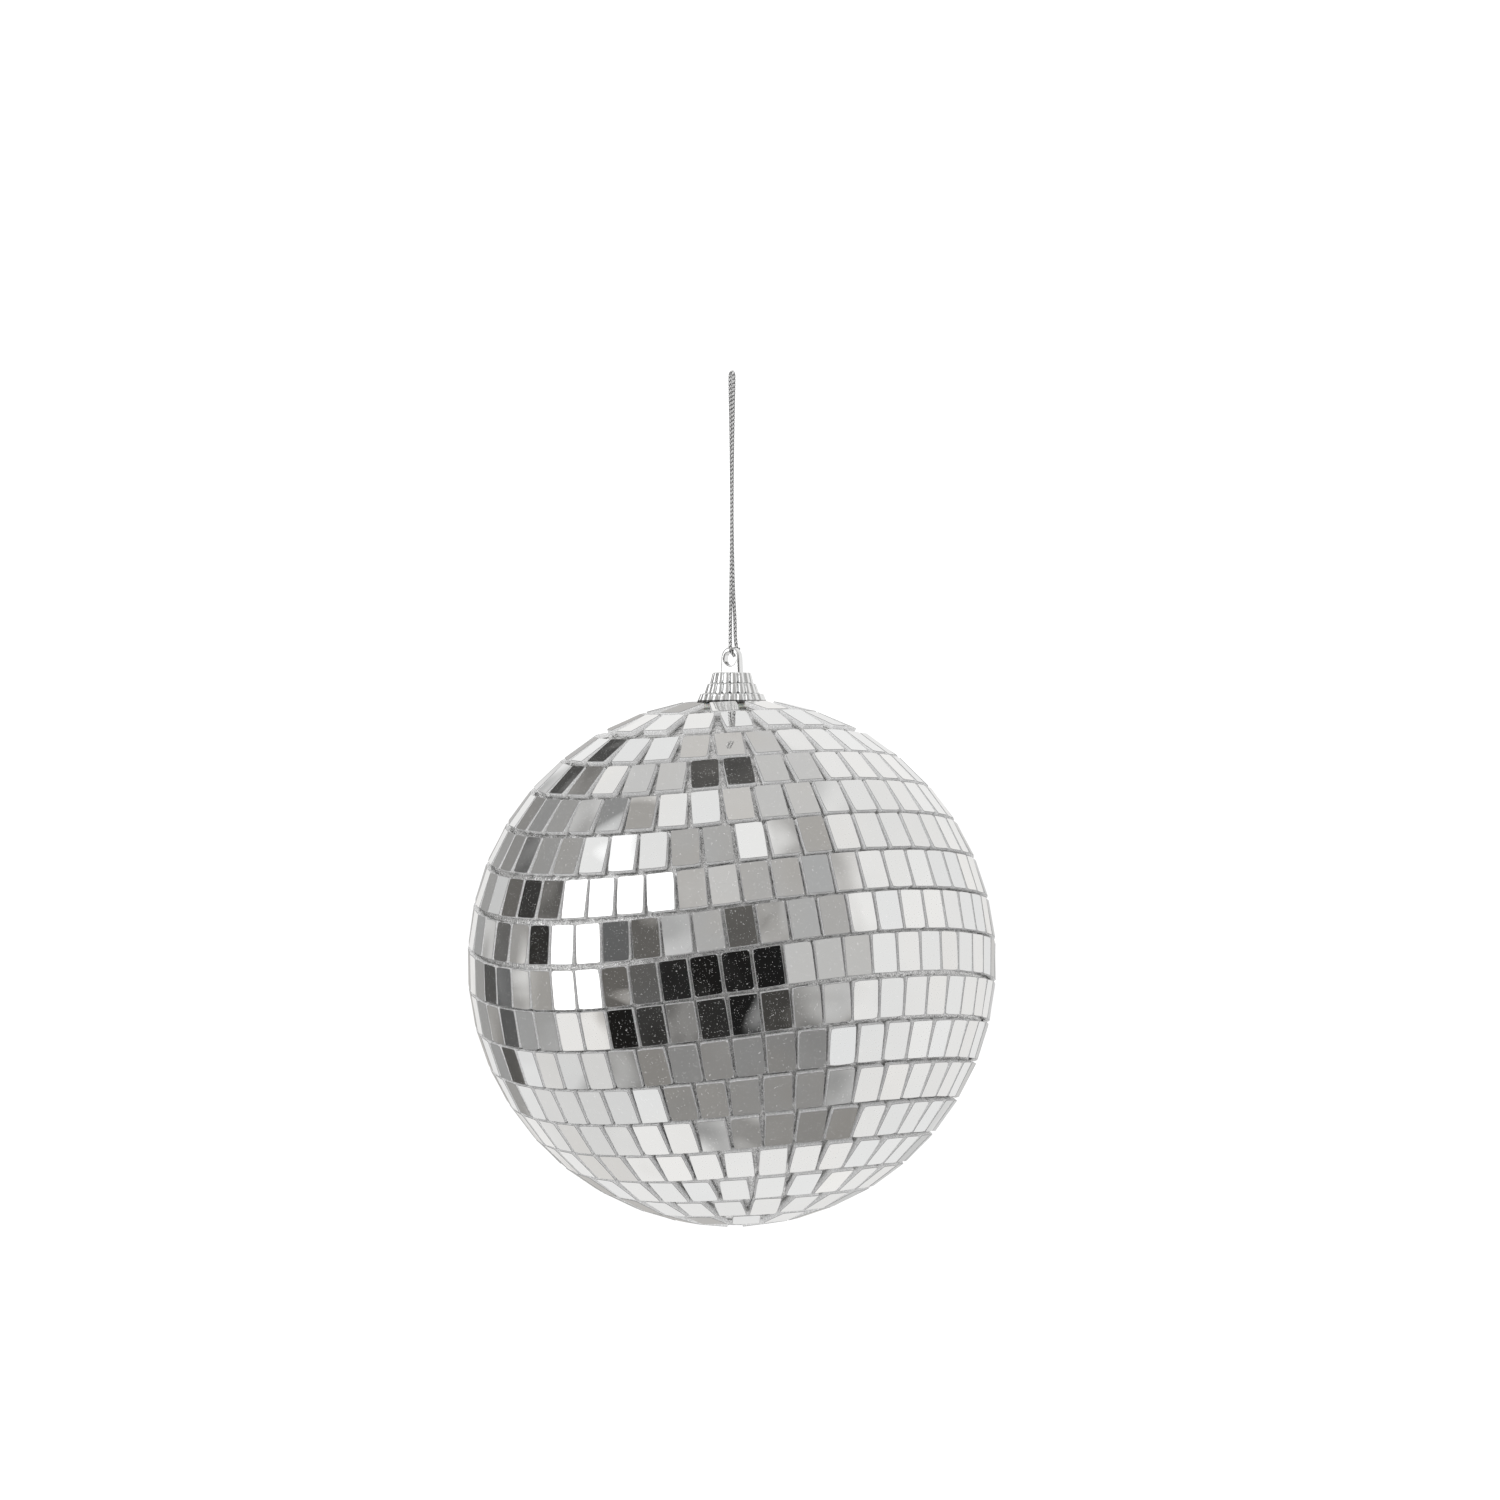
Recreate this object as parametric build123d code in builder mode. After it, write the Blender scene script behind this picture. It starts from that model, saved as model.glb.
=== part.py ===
"""Small hanging mirror ball: foam core, hand-laid rows of mirror tiles, tiered crown cap and cord loop.

Row frame: origin where a hook carries the cord's top fold, +Z up, ball hanging below on the Z axis.
The hole through the eye runs EYE_TURN degrees off the Y axis. Millimetres throughout.
"""
import os
from math import cos, radians, sin, tan
from random import Random

import numpy as np
from build123d import *

# --- the ball ---
BALL_R = 50.0                 # radius to the middle of a tile's outer face
GLASS_T = 1.0                 # mirror glass thickness
TILE_W = 5.15                 # tile width, along its row
TILE_H = 7.15                 # tile height, across its row
TILE_GAP = 0.30               # least gap between neighbours in a row, at the tiles' backs
BACK_R = BALL_R - GLASS_T     # radius to the middle of a tile's back
SKIN_R = 48.55                # outside of the silver base skin
SKIN_T = 0.20
BOND = 0.02                   # bond line between faces that are glued over their whole area
CORE_R = SKIN_R - SKIN_T - BOND

# --- the rows: latitudes in degrees ---
FIRST_EDGE = 4.85             # the edge that the rows are counted from, up and down
NORTH_PITCH = 9.2             # row pitch above that edge
SOUTH_PITCH = 9.0             # row pitch below it, laid a little tighter
NORTH_ROWS = 8
TOP_ROWS = 2                  # the last rows under the cap
TOP_SHIFT = 1.8               # they are set this much higher, which leaves a wide gap below them
SOUTH_ROWS = 10
WAVE = 4.2                    # the rows wander up and down twice round the ball, by this much
WAVE_SHIFT = 4.5              # longitude shift of that wander
WAVE_FADE = 110.0             # latitude at which the wander would have died out
PATH_STEPS = 720              # steps that a row's line is measured in
AHEAD = 0.1                   # degrees along a row over which its direction is taken

# --- hand-laid scatter of the tiles ---
TURN_SCATTER = 0.60           # degrees, in the tile's own plane
TILT_SCATTER = 0.85           # degrees, out of its plane
PROUD_SHARE = 0.03            # share of tiles that stand up on one edge
PROUD_TILT = 2.0
BOTTOM_TILE = 4.4             # the one tile at the bottom is cut short to fit the hole left there
PAD_MARGIN = 0.35             # adhesive pads stop this far inside the tile's edge
PAD_DEPTH = 1.4

# --- crown cap: three fluted tiers, from the rim up ---
RIM_H = 49.0                  # rim height above the ball's centre
TIER_HEIGHTS = (1.85, 1.95, 2.10)
TIER_FOOT_R = (6.75, 5.20, 4.15)
TIER_TOP_R = (6.05, 4.60, 3.65)
TIER_FLUTES = (22, 19, 15)
FLUTE_DEPTH = 0.34
CAP_WALL = 0.75
CROWN_H = RIM_H + sum(TIER_HEIGHTS)

# --- eye and its peg ---
EYE_TURN = 36.0
TAB_T = 1.5
TAB_W = 4.3
TAB_FOOT_W = 4.7
TAB_TOP = 4.9                 # tab height above the crown
TAB_FOOT = -CAP_WALL          # the tab's foot stands on the flange, below the crown's top wall
HOLE_R = 1.35
HOLE_UP = 2.6                 # hole centre above the crown
TAB_EDGE = 0.45               # rounding of the tab's outline
HOLE_EDGE = 0.30              # rounding of the hole's two edges
SLOT_PLAY = 0.05              # room round the tab in the crown's slot
SLOT_DEPTH = 2 * CAP_WALL
FLANGE_R = 2.75
FLANGE_T = 0.8
SHANK_R = 1.7
BARB_R = 2.3
BARB_PITCH = 3.4
BARB_COUNT = 4
PEG_DEPTH = 18.0              # peg's tip below the rim
SOCKET_R = 2.9                # bored hole in the core
SOCKET_DEPTH = 19.5
GLUE_R = 5.9                  # glue puck under the crown
GLUE_T = 1.2
GLUE_STOP = 1.0               # the glue sleeve stops this far above the peg's tip

# --- cord: distance in front of the Z axis, turn from -Y towards -X, height above the ball's centre ---
CORD_D = 0.7
LOOP_TOP = 112.1              # height of the cord's centre line at its top fold
DROP = LOOP_TOP - CORD_D / 2  # from the hook's contact down to the ball's centre
EYE_BEND_R = 0.9              # the cord's bend round the edge of the hole
ARC_SHARE = 0.45
TWIST_CUT = 68.0              # height at which the lower part of the cord begins
CORD_ROUTE = (
    (-1.75, 32, 59.30),
    (-1.15, 32, 61.20),
    (-0.72, 58, 64.50),
    (-0.45, 30, 71.00),
    (-0.40, 4, 81.00),
    (-0.40, -14, 97.00),
    (-0.78, -27, 109.60),
    (-0.78, -27, LOOP_TOP),
    (0.78, -27, LOOP_TOP),
    (0.78, -27, 109.80),
    (0.39, -11, 97.20),
    (0.40, 6, 80.50),
    (0.45, 24, 70.60),
    (0.52, 36, 64.20),
    (1.20, 15, 60.90),
    (1.30, 14, 58.30),
    (-1.60, 36, 58.48),
)
KNOT_AT = (-2.00, 36, 58.85)
KNOT_R = 1.12
TAIL_LENGTH = 2.5
TAIL_DROP = -1.3              # the tails point backwards and down
TAIL_LEANS = (8, 58)          # how far each tail is turned sideways, in degrees

os.makedirs("parts", exist_ok=True)
centre = Vector(0, 0, -DROP)


def finish(piece, name):
    """Label a finished piece and write it as the node of that name."""
    piece.part.label = name
    export_step(piece.part, f"parts/{name}.step")


def above_centre(height):
    """Horizontal plane at a height above the ball's centre."""
    return Plane.XY.offset(height - DROP)


def hanging_point(route_point):
    """A point of the cord, from its distance, turn and height."""
    distance, turn, height = route_point
    return Vector(-distance * sin(radians(turn)), -distance * cos(radians(turn)), height - DROP)


def row_latitude(edge, longitude):
    """Latitude of a row's line at a longitude, with the wander of a hand-laid row."""
    fade = 1.0 - abs(edge) / WAVE_FADE
    return edge + WAVE * fade * np.sin(np.radians(2.0 * (longitude + WAVE_SHIFT)))


def on_sphere(longitude, latitude):
    """Unit vector, longitude counted from -Y towards +X."""
    lon = np.radians(longitude)
    lat = np.radians(latitude)
    return np.stack([np.sin(lon) * np.cos(lat), -np.cos(lon) * np.cos(lat), np.sin(lat)], axis=-1)


def tile_planes(low_edge, high_edge, seed):
    """Planes of one row's tile backs, spaced evenly along the row's wandering line."""
    scatter = Random(seed)
    longitudes = np.linspace(0.0, 360.0, PATH_STEPS + 1)
    middle = (low_edge + high_edge) / 2
    pole_side = max(low_edge, high_edge, key=abs)
    lines = []
    for edge in (middle, pole_side):
        points = BACK_R * on_sphere(longitudes, row_latitude(edge, longitudes))
        steps = np.linalg.norm(np.diff(points, axis=0), axis=1)
        lines.append(np.concatenate([[0.0], np.cumsum(steps)]))
    along, tight = lines
    count = int(tight[-1] / (TILE_W + TILE_GAP))
    start = scatter.random()
    planes = []
    for index in range(count):
        distance = (index + start) / count * along[-1]
        longitude = float(np.interp(distance, along, longitudes))
        ahead, behind = (
            on_sphere(longitude + step, row_latitude(middle, longitude + step)) for step in (AHEAD, -AHEAD)
        )
        normal = Vector(*on_sphere(longitude, row_latitude(middle, longitude)))
        row_way = Vector(*(ahead - behind))
        proud = PROUD_TILT * scatter.choice((-1, 1)) if scatter.random() < PROUD_SHARE else 0.0
        tilt_x = scatter.uniform(-TILT_SCATTER, TILT_SCATTER) + proud
        tilt_y = scatter.uniform(-TILT_SCATTER, TILT_SCATTER)
        turn = scatter.uniform(-TURN_SCATTER, TURN_SCATTER)
        laid = Plane(origin=centre + normal * BACK_R, x_dir=row_way, z_dir=normal)
        planes.append(laid.rotated((tilt_x, tilt_y, turn)))
    return planes


def north_row(number):
    """Low and high edge of a row, counted up from the first edge."""
    shift = TOP_SHIFT if number >= NORTH_ROWS - TOP_ROWS else 0.0
    low = FIRST_EDGE + number * NORTH_PITCH + shift
    return low, low + NORTH_PITCH


def bend_radii(points):
    """Radius of each bend of the cord: as large as its two runs allow."""
    radii = []
    for before, at, after in zip(points, points[1:], points[2:]):
        shorter = min((at - before).length, (after - at).length)
        turn = (at - before).get_angle(after - at)
        radii.append(ARC_SHARE * shorter / tan(radians(turn / 2)))
    return radii


def flute_outline(radius, count):
    """Fluted outline: a ring of shallow outward arcs that meet in sharp valleys."""
    valley_r = radius - FLUTE_DEPTH
    step = 360 / count
    for index in range(count):
        start = Vector(valley_r, 0).rotate(Axis.Z, index * step)
        crest = Vector(radius, 0).rotate(Axis.Z, (index + 0.5) * step)
        end = Vector(valley_r, 0).rotate(Axis.Z, (index + 1) % count * step)
        ThreePointArc(start, crest, end)


# --- core ---
with BuildPart() as core:
    with Locations(centre):
        Sphere(CORE_R)
    with BuildSketch(above_centre(RIM_H)):
        Circle(SOCKET_R)
    extrude(amount=-SOCKET_DEPTH, mode=Mode.SUBTRACT)
finish(core, "foam_core")

# --- silver base skin, open over the peg's socket ---
with BuildPart() as skin:
    with Locations(centre):
        Sphere(SKIN_R)
        Sphere(SKIN_R - SKIN_T, mode=Mode.SUBTRACT)
    with BuildSketch(above_centre(RIM_H)):
        Circle(SOCKET_R)
    extrude(amount=-SOCKET_DEPTH, mode=Mode.SUBTRACT)
finish(skin, "silver_base_skin")

# --- mirror tiles and the adhesive under each, row by row from the cap down ---
north = [north_row(n) for n in range(NORTH_ROWS)]
south = [(FIRST_EDGE - (n + 1) * SOUTH_PITCH, FIRST_EDGE - n * SOUTH_PITCH) for n in range(SOUTH_ROWS)]
rows = [(f"row_{n + 1:02d}", tile_planes(*edges, seed=n)) for n, edges in enumerate(north[::-1] + south)]
rows.append(("bottom", [Plane(origin=centre - Vector(0, 0, BACK_R), x_dir=(1, 0, 0), z_dir=(0, 0, -1))]))

for row_name, planes in rows:
    tile_h = BOTTOM_TILE if row_name == "bottom" else TILE_H
    with BuildPart() as tiles:
        with Locations(*planes):
            Box(TILE_W, tile_h, GLASS_T, align=(Align.CENTER, Align.CENTER, Align.MIN))
    finish(tiles, f"mirror_tiles_{row_name}")

    with BuildPart() as pads:
        with Locations(*planes):
            Box(
                TILE_W - 2 * PAD_MARGIN,
                tile_h - 2 * PAD_MARGIN,
                PAD_DEPTH,
                align=(Align.CENTER, Align.CENTER, Align.MAX),
            )
        with Locations(centre):
            Sphere(SKIN_R + BOND, mode=Mode.SUBTRACT)
    finish(pads, f"adhesive_{row_name}")
    print(row_name, "tiles", len(tiles.solids()), "pads", len(pads.solids()))

# --- eye and barbed peg, one moulding that stands through the crown ---
tab_front = Plane(
    origin=(0, 0, CROWN_H - DROP),
    x_dir=(cos(radians(EYE_TURN)), -sin(radians(EYE_TURN)), 0),
    z_dir=(-sin(radians(EYE_TURN)), -cos(radians(EYE_TURN)), 0),
)
with BuildPart() as peg:
    with BuildSketch(tab_front):
        with BuildLine():
            Polyline(
                (-TAB_W / 2, TAB_TOP - TAB_W / 2),
                (-TAB_FOOT_W / 2, TAB_FOOT),
                (TAB_FOOT_W / 2, TAB_FOOT),
                (TAB_W / 2, TAB_TOP - TAB_W / 2),
            )
            ThreePointArc((TAB_W / 2, TAB_TOP - TAB_W / 2), (0, TAB_TOP), (-TAB_W / 2, TAB_TOP - TAB_W / 2))
        make_face()
        with Locations((0, HOLE_UP)):
            Circle(HOLE_R, mode=Mode.SUBTRACT)
    extrude(amount=TAB_T / 2, both=True)
    above_foot = peg.edges() - peg.faces().sort_by(Axis.Z)[0].edges()
    outline = above_foot.filter_by(lambda edge: edge.length > 2 * TAB_T and not edge.is_closed)
    fillet(outline, TAB_EDGE)
    fillet(peg.edges().filter_by(lambda edge: edge.is_closed), HOLE_EDGE)
    with BuildSketch(above_centre(CROWN_H + TAB_FOOT)):
        Circle(FLANGE_R)
    extrude(amount=-FLANGE_T)
    with BuildSketch(above_centre(CROWN_H + TAB_FOOT)):
        Circle(SHANK_R)
    extrude(amount=RIM_H - PEG_DEPTH - CROWN_H - TAB_FOOT)
    for barb in range(BARB_COUNT):
        with Locations((0, 0, RIM_H - PEG_DEPTH - DROP + barb * BARB_PITCH)):
            Cone(SHANK_R, BARB_R, BARB_PITCH / 2, align=(Align.CENTER, Align.CENTER, Align.MIN))
finish(peg, "eye_peg")

# --- crown cap: fluted tiers over a stepped hollow, slotted for the eye's tab ---
with BuildPart() as crown:
    tier_foot = RIM_H
    for height, foot_r, top_r, flutes in zip(TIER_HEIGHTS, TIER_FOOT_R, TIER_TOP_R, TIER_FLUTES):
        with BuildSketch(above_centre(tier_foot)):
            with BuildLine():
                flute_outline(foot_r, flutes)
            make_face()
        with BuildSketch(above_centre(tier_foot + height)):
            with BuildLine():
                flute_outline(top_r, flutes)
            make_face()
        loft(ruled=True)
        tier_foot += height
    tier_foot = RIM_H
    for height, top_r in zip(TIER_HEIGHTS, TIER_TOP_R):
        with BuildSketch(above_centre(tier_foot)):
            Circle(top_r - CAP_WALL)
        extrude(amount=height - CAP_WALL, mode=Mode.SUBTRACT)
        with BuildSketch(above_centre(tier_foot)):
            Circle(min(top_r - CAP_WALL, TIER_TOP_R[-1] - CAP_WALL))
        extrude(amount=height if top_r > TIER_TOP_R[-1] else height - CAP_WALL, mode=Mode.SUBTRACT)
        tier_foot += height
    with BuildSketch(Plane(origin=tab_front.origin, x_dir=tab_front.x_dir, z_dir=(0, 0, 1))):
        Rectangle(TAB_FOOT_W + 2 * SLOT_PLAY, TAB_T + 2 * SLOT_PLAY)
    extrude(amount=-SLOT_DEPTH, mode=Mode.SUBTRACT)
finish(crown, "crown_cap")

# --- glue: a puck under the crown and a sleeve round the peg ---
with BuildPart() as glue:
    with BuildSketch(above_centre(RIM_H - BOND)):
        Circle(GLUE_R)
    extrude(amount=-GLUE_T)
    with Locations(centre):
        Sphere(SKIN_R + BOND, mode=Mode.SUBTRACT)
    with BuildSketch(above_centre(RIM_H - BOND)):
        Circle(SOCKET_R - BOND)
    extrude(amount=BOND - PEG_DEPTH + GLUE_STOP)
    add(peg.part, mode=Mode.SUBTRACT)
finish(glue, "cap_glue")

# --- cord loop, in two lengths that meet where it twists ---
route = [hanging_point(point) for point in CORD_ROUTE]
radii = bend_radii(route)
radii[-1] = EYE_BEND_R
print("cord bend radii", [round(radius, 2) for radius in radii])
with BuildPart() as cord:
    with BuildLine() as cord_line:
        FilletPolyline(*route, radius=radii)
    with BuildSketch(Plane(origin=route[0], z_dir=route[1] - route[0])):
        Circle(CORD_D / 2)
    sweep()
cord_length = cord_line.wire().length
section = np.pi * CORD_D**2 / 4
volume_ratio = cord.part.volume / (section * cord_length)
print("cord length", round(cord_length, 2), "volume ratio", round(volume_ratio, 4))

with BuildPart() as upper_cord:
    add(cord.part)
    split(bisect_by=above_centre(TWIST_CUT), keep=Keep.TOP)
finish(upper_cord, "cord_loop_upper")

with BuildPart() as lower_cord:
    add(cord.part)
    split(bisect_by=above_centre(TWIST_CUT), keep=Keep.BOTTOM)
finish(lower_cord, "cord_loop_lower")

# --- knot that joins the cord's ends, behind the eye, with two trimmed tails ---
knot_centre = hanging_point(KNOT_AT)
with BuildPart() as knot:
    with Locations(knot_centre):
        Sphere(KNOT_R)
    for lean in TAIL_LEANS:
        tail_way = Vector(-tab_front.z_dir.X, -tab_front.z_dir.Y, TAIL_DROP).rotate(Axis.Z, lean)
        with BuildSketch(Plane(origin=knot_centre, z_dir=tail_way)):
            Circle(CORD_D / 2)
        extrude(amount=TAIL_LENGTH)
finish(knot, "cord_knot")
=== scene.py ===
"""Looks of a small hanging mirror ball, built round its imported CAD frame. Metres throughout."""
import math
from functools import cache
from random import Random

import bmesh
import bpy
import numpy as np
from mathutils import Matrix, Vector


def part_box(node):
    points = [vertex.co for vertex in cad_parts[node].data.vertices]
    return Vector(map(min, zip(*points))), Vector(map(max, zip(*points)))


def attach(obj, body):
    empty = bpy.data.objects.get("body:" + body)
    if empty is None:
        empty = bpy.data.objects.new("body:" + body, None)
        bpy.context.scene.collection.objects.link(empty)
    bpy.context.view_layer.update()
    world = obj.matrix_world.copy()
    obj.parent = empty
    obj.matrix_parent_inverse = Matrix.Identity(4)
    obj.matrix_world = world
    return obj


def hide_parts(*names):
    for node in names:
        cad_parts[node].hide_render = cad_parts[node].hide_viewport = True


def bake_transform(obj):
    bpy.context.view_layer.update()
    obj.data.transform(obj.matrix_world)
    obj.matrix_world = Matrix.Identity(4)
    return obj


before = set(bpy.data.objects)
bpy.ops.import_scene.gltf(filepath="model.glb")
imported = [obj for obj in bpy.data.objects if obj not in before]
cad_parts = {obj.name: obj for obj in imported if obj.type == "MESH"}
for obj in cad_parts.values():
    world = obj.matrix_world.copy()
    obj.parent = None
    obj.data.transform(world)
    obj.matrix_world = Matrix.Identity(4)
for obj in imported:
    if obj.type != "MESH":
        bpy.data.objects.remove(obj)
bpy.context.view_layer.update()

MM = 0.001
BALL_R = 0.050                # centre of the ball to the middle of a tile's face
CENTRE = Vector((0, 0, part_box("mirror_tiles_bottom")[0].z + BALL_R))
EYE_TURN = math.radians(36)   # the eye's front is turned from -Y towards -X
EYE_FRONT = Vector((-math.sin(EYE_TURN), -math.cos(EYE_TURN), 0))


def link(obj):
    """Put a new object into the scene."""
    bpy.context.scene.collection.objects.link(obj)
    return obj


def mesh_object(name, vertices, faces, smooth=True):
    """A mesh object from plain lists."""
    mesh = bpy.data.meshes.new(name)
    mesh.from_pydata([tuple(v) for v in vertices], [], [tuple(f) for f in faces])
    mesh.update()
    mesh.polygons.foreach_set("use_smooth", [smooth] * len(mesh.polygons))
    return link(bpy.data.objects.new(name, mesh))


# ---------------------------------------------------------------- camera
CAMERA_FROM_CENTRE = Vector((3.43, -700, 40.17)) * MM
LENS_MM = 88.24
SENSOR_MM = 36
NEAR_CLIP = 0.01

camera_data = bpy.data.cameras.new("camera")
camera_data.lens = LENS_MM
camera_data.sensor_width = SENSOR_MM
camera_data.clip_start = NEAR_CLIP
camera = link(bpy.data.objects.new("camera", camera_data))
camera.location = CENTRE + CAMERA_FROM_CENTRE
camera.rotation_euler = (math.radians(90), 0, 0)
bpy.context.scene.camera = camera
bpy.context.scene.view_settings.view_transform = "Standard"


# ---------------------------------------------------------------- shader helpers
class Shader:
    """A material's node tree, with short calls for the nodes used here."""

    def __init__(self, name):
        self.material = bpy.data.materials.new(name)
        self.material.use_nodes = True
        self.tree = self.material.node_tree
        self.tree.nodes.clear()
        self.output = self.tree.nodes.new("ShaderNodeOutputMaterial")

    def node(self, kind, inputs=(), **settings):
        """A node with its inputs linked or set, by name or number."""
        made = self.tree.nodes.new("ShaderNode" + kind)
        for key, value in settings.items():
            setattr(made, key, value)
        for key, value in dict(inputs).items():
            if isinstance(value, bpy.types.NodeSocket):
                self.tree.links.new(value, made.inputs[key])
            else:
                made.inputs[key].default_value = value
        return made

    def principled(self, **inputs):
        """The surface itself, wired to the output. Underscores stand for spaces in socket names."""
        named = {key.replace("_", " "): value for key, value in inputs.items()}
        made = self.node("BsdfPrincipled", named)
        self.tree.links.new(made.outputs[0], self.output.inputs[0])
        return made

    def math(self, operation, a, b=0.0, clamp=False):
        return self.node("Math", {0: a, 1: b}, operation=operation, use_clamp=clamp).outputs[0]

    def ramp(self, factor, low, high, to_low=0.0, to_high=1.0):
        """The factor stretched from one range to another and held at its ends."""
        made = self.node("MapRange", {0: factor, 1: low, 2: high, 3: to_low, 4: to_high})
        return made.outputs[0]

    def mix(self, factor, a, b):
        """Colour a where the factor is 0, colour b where it is 1."""
        made = self.node("Mix", data_type="RGBA")
        for index, value in ((0, factor), (6, a), (7, b)):
            if isinstance(value, bpy.types.NodeSocket):
                self.tree.links.new(value, made.inputs[index])
            else:
                made.inputs[index].default_value = value
        return made.outputs[2]

    def place(self):
        """Object coordinates in millimetres."""
        coords = self.node("TexCoord").outputs["Object"]
        return self.node("Mapping", {"Vector": coords, "Scale": (1 / MM, 1 / MM, 1 / MM)}).outputs[0]

    def noise(self, vector, scale, detail=3.0, roughness=0.5):
        settings = {"Vector": vector, "Scale": scale, "Detail": detail, "Roughness": roughness}
        return self.node("TexNoise", settings).outputs[0]

    def bump(self, height, distance, strength=1.0, normal=None):
        inputs = {"Height": height, "Distance": distance, "Strength": strength}
        if normal is not None:
            inputs["Normal"] = normal
        return self.node("Bump", inputs).outputs[0]


def grey(value):
    return (value, value, value, 1.0)


# ---------------------------------------------------------------- cord
CORD_D = 0.7 * MM
LOOP_TOP = 112.1              # centre line of the top fold, mm above the ball's centre
CORD_ROUTE = (                # mm in front of the Z axis, degrees from -Y towards -X, mm above the centre
    (-1.75, 32, 59.30),
    (-1.15, 32, 61.20),
    (-0.72, 58, 64.50),
    (-0.45, 30, 71.00),
    (-0.40, 4, 81.00),
    (-0.40, -14, 97.00),
    (-0.78, -27, 109.60),
    (-0.78, -27, LOOP_TOP),
    (0.78, -27, LOOP_TOP),
    (0.78, -27, 109.80),
    (0.39, -11, 97.20),
    (0.40, 6, 80.50),
    (0.45, 24, 70.60),
    (0.52, 36, 64.20),
    (1.20, 15, 60.90),
    (1.30, 14, 58.30),
    (-1.60, 36, 58.48),
)
KNOT_AT = (-1.90, 27, 58.95)
KNOT_R = 0.66 * MM            # centre line of the knot's lobes
KNOT_DEPTH = 0.45             # its depth from front to back, as a share of that radius
KNOT_STEPS = 150
KNOT_OPEN = 0.03              # share of the trefoil that is left open at each end
KNOT_CORD = 0.92              # the cord is drawn this much thinner in the knot
TAIL = 1.7 * MM
TAIL_CORD = 0.95
TAIL_SLOPE = -0.4
TAIL_SAG = 0.15 * MM
TAIL_LEANS = (8, 58)          # how far each tail is turned sideways, in degrees
CURVE_STEPS = 24              # points that the route's smooth line has between two of its own
CARRIERS = 3                  # ribbons that wind each way round the braid
BRAID_LEAD = 2.35 * MM        # length of one full turn of a ribbon
FILM_W = 0.32 * MM
SHADED_FILM_W = 0.20 * MM
RIBBON_T = 0.10 * MM
RIBBON_LIFT = 0.55            # how far a ribbon rises over the next, as a share of its thickness
RIBBON_CORNER = 0.9           # radians from a ribbon's edge to the corners of its section
CORE_INSET = 1.7              # ribbon thicknesses from the braid's outside to its core
CORE_SIDES = 8
CORE_STRIDE = 3               # the core has a ring at every so many of the braid's points
BRAID_STEP = 0.08 * MM
FILM_SLOT, CORE_SLOT, SHADED_FILM_SLOT = range(3)


def hanging_point(distance, turn, height):
    """A point of the cord in metres, from the route's own measures."""
    angle = math.radians(turn)
    flat = Vector((-math.sin(angle), -math.cos(angle), 0)) * distance * MM
    return CENTRE + flat + Vector((0, 0, height * MM))


def smooth_line(points):
    """Points along the NURBS spline that has the given control points."""
    curve = bpy.data.curves.new("route", "CURVE")
    curve.dimensions = "3D"
    curve.resolution_u = CURVE_STEPS
    spline = curve.splines.new("NURBS")
    spline.points.add(len(points) - 1)
    for target, point in zip(spline.points, points):
        target.co = (*point, 1)
    spline.order_u = 3
    spline.use_endpoint_u = True
    holder = bpy.data.objects.new("route", curve)
    line = bpy.data.meshes.new_from_object(holder)
    found = np.array([vertex.co for vertex in line.vertices])
    bpy.data.objects.remove(holder)
    bpy.data.curves.remove(curve)
    bpy.data.meshes.remove(line)
    return found


def even_steps(line, step):
    """The same line with its points a step apart."""
    lengths = np.linalg.norm(np.diff(line, axis=0), axis=1)
    along = np.concatenate([[0], np.cumsum(lengths)])
    places = np.linspace(0, along[-1], max(3, int(along[-1] / step)))
    return np.stack([np.interp(places, along, line[:, axis]) for axis in range(3)], axis=1), places


def frames_along(line):
    """Tangent and two normals at each point, carried along without twist."""
    tangents = np.gradient(line, axis=0)
    tangents /= np.linalg.norm(tangents, axis=1, keepdims=True)
    side = np.cross(tangents[0], (0.3, 0.5, 0.8))
    sides = []
    for tangent in tangents:
        side = side - tangent * (side @ tangent)
        side /= np.linalg.norm(side)
        sides.append(side)
    sides = np.array(sides)
    return tangents, sides, np.cross(tangents, sides)


def add_tube(vertices, faces, rings, closed_ends=True):
    """Join rings of points, each a closed loop of the same length, into a tube."""
    start = len(vertices)
    around = len(rings[0])
    for ring in rings:
        vertices.extend(ring)
    for row in range(len(rings) - 1):
        for column in range(around):
            a = start + row * around + column
            b = start + row * around + (column + 1) % around
            faces.append((a, b, b + around, a + around))
    if closed_ends:
        last = start + (len(rings) - 1) * around
        faces.append(tuple(start + column for column in reversed(range(around))))
        faces.append(tuple(last + column for column in range(around)))


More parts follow.
